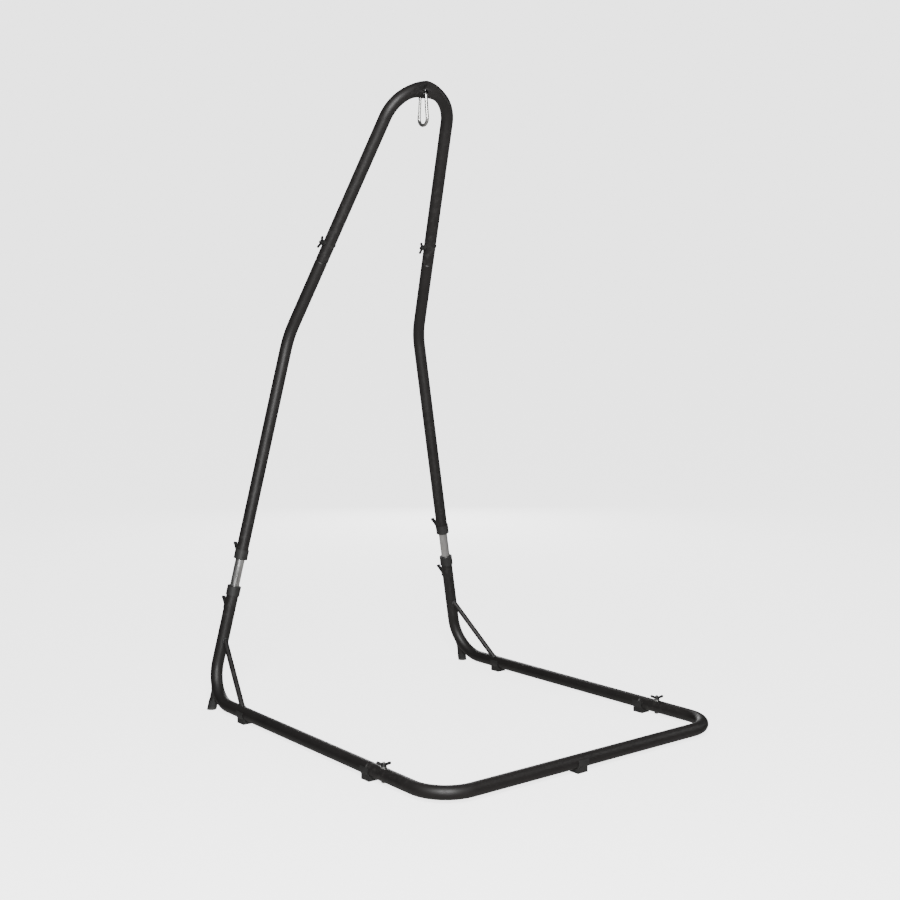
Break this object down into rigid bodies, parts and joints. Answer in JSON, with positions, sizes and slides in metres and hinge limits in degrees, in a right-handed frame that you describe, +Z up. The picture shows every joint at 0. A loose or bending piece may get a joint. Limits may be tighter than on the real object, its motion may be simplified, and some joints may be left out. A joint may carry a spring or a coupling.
{
  "type": "hammock on stand",
  "caption": "Tubular steel stand for a hanging chair or hammock: U-shaped base, two leaning legs, round top with a snap hook.",
  "frame": {"origin": "on the floor, below the middle of the stand's bounding box", "axes": "+X towards the right-hand leg as seen from the open front, +Y to the rear where the legs rise, +Z up"},
  "size_m": [1.1916, 1.3627, 2.1129],
  "materials": {
    "frame_coat": "satin anthracite powder coat",
    "zinc_tube": "bright zinc plating, satin",
    "zinc_hardware": "zinc plated, satin",
    "black_hardware": "black finish, semi matt",
    "black_plastic": "matt moulded nylon",
    "foot_rubber": "matt",
    "hook_zinc": "polished zinc plating"
  },
  "bodies": {
    "base": {"front_bow": "frame_coat", "front_saddle": "black_plastic", "base_rail_left": "frame_coat", "brace_left": "frame_coat", "rear_stub_left": "frame_coat", "stub_cap_left": "foot_rubber", "rear_saddle_left": "black_plastic", "joint_saddle_left": "black_plastic", "base_bolt_left": "zinc_hardware", "base_washer_left": "zinc_hardware", "lower_collar_left": "black_plastic", "lower_bracket_left": "frame_coat", "lower_pin_left": "zinc_hardware", "base_rail_right": "frame_coat", "brace_right": "frame_coat", "rear_stub_right": "frame_coat", "stub_cap_right": "foot_rubber", "rear_saddle_right": "black_plastic", "joint_saddle_right": "black_plastic", "base_bolt_right": "zinc_hardware", "base_washer_right": "zinc_hardware", "lower_collar_right": "black_plastic", "lower_bracket_right": "frame_coat", "lower_pin_right": "zinc_hardware"},
    "arch": {"top_arch": "frame_coat", "leg_bolt_left": "black_hardware", "leg_washer_left": "black_hardware", "leg_bolt_right": "black_hardware", "leg_washer_right": "black_hardware"},
    "leg_left": {"upper_leg_left": "frame_coat", "upper_collar_left": "black_plastic", "upper_bracket_left": "frame_coat", "upper_pin_left": "zinc_hardware"},
    "slider_left": {"inner_tube_left": "zinc_tube"},
    "lower_clamp_left": {"lower_lever_left": "black_hardware"},
    "upper_clamp_left": {"upper_lever_left": "black_hardware"},
    "base_nut_left": {"base_wing_nut_left": "black_hardware"},
    "leg_nut_left": {"leg_wing_nut_left": "black_hardware"},
    "leg_right": {"upper_leg_right": "frame_coat", "upper_collar_right": "black_plastic", "upper_bracket_right": "frame_coat", "upper_pin_right": "zinc_hardware"},
    "slider_right": {"inner_tube_right": "zinc_tube"},
    "lower_clamp_right": {"lower_lever_right": "black_hardware"},
    "upper_clamp_right": {"upper_lever_right": "black_hardware"},
    "base_nut_right": {"base_wing_nut_right": "black_hardware"},
    "leg_nut_right": {"leg_wing_nut_right": "black_hardware"},
    "hook": {"snap_hook": "hook_zinc", "hook_pin": "zinc_hardware"},
    "gate": {"hook_gate": "hook_zinc"}
  },
  "joints": [
    {"name": "height_adjust", "type": "slide", "parent": "base", "child": "arch", "axis": [0, -0.0824, 0.9966], "range_m": [-0.08, 0.08]},
    {"name": "leg_rock_left", "type": "hinge", "parent": "arch", "child": "leg_left", "pos_m": [-0.21367, 0.3905, 1.58741], "axis": [0.0918, 0.8965, 0.4334], "range_deg": [-1.5, 1.5]},
    {"name": "inner_slide_left", "type": "slide", "parent": "base", "child": "slider_left", "axis": [0.2122, -0.0839, 0.9736], "range_m": [-0.045, 0.045]},
    {"name": "leg_rock_right", "type": "hinge", "parent": "arch", "child": "leg_right", "pos_m": [0.21367, 0.3905, 1.58741], "axis": [-0.0918, 0.8965, 0.4334], "range_deg": [-1.5, 1.5]},
    {"name": "inner_slide_right", "type": "slide", "parent": "base", "child": "slider_right", "axis": [-0.2122, -0.0839, 0.9736], "range_m": [-0.045, 0.045]},
    {"name": "lower_clamp_open_left", "type": "hinge", "parent": "base", "child": "lower_clamp_left", "pos_m": [-0.48109, 0.65283, 0.35136], "axis": [-0.9771, 0, 0.2129], "range_deg": [0, 75]},
    {"name": "upper_clamp_open_left", "type": "hinge", "parent": "leg_left", "child": "upper_clamp_left", "pos_m": [-0.44014, 0.63663, 0.53927], "axis": [-0.9771, 0, 0.2129], "range_deg": [0, 75]},
    {"name": "lower_clamp_open_right", "type": "hinge", "parent": "base", "child": "lower_clamp_right", "pos_m": [0.48109, 0.65283, 0.35136], "axis": [-0.9771, 0, -0.2129], "range_deg": [0, 75]},
    {"name": "upper_clamp_open_right", "type": "hinge", "parent": "leg_right", "child": "upper_clamp_right", "pos_m": [0.44014, 0.63663, 0.53927], "axis": [-0.9771, 0, -0.2129], "range_deg": [0, 75]},
    {"name": "base_nut_turn_left", "type": "hinge", "parent": "base", "child": "base_nut_left", "pos_m": [-0.57181, -0.39158, 0.0573], "axis": [0, 0, 1], "continuous": true},
    {"name": "leg_nut_turn_left", "type": "hinge", "parent": "arch", "child": "leg_nut_left", "pos_m": [-0.24168, 0.38811, 1.59213], "axis": [-0.9826, -0.0837, 0.1657], "continuous": true},
    {"name": "base_nut_turn_right", "type": "hinge", "parent": "base", "child": "base_nut_right", "pos_m": [0.57181, -0.39158, 0.0573], "axis": [0, 0, 1], "continuous": true},
    {"name": "leg_nut_turn_right", "type": "hinge", "parent": "arch", "child": "leg_nut_right", "pos_m": [0.18567, 0.39288, 1.58268], "axis": [-0.9826, 0.0837, -0.1657], "continuous": true},
    {"name": "hook_swing", "type": "hinge", "parent": "arch", "child": "hook", "pos_m": [0, 0.14254, 2.07832], "axis": [0, -0.8926, -0.4509], "range_deg": [-25, 25]},
    {"name": "gate_open", "type": "hinge", "parent": "hook", "child": "gate", "pos_m": [0, 0.16481, 2.06042], "axis": [1, 0, 0], "range_deg": [-20, 0], "stiffness_Nm_per_rad": 0.02, "springref_deg": 20.05}
  ],
  "couplings": [
    {"joint": "leg_rock_left", "follows": "height_adjust", "rad_per_m": -0.19948},
    {"joint": "inner_slide_left", "follows": "height_adjust", "ratio": 0.48862},
    {"joint": "leg_rock_right", "follows": "height_adjust", "rad_per_m": 0.19948},
    {"joint": "inner_slide_right", "follows": "height_adjust", "ratio": 0.48862}
  ]
}
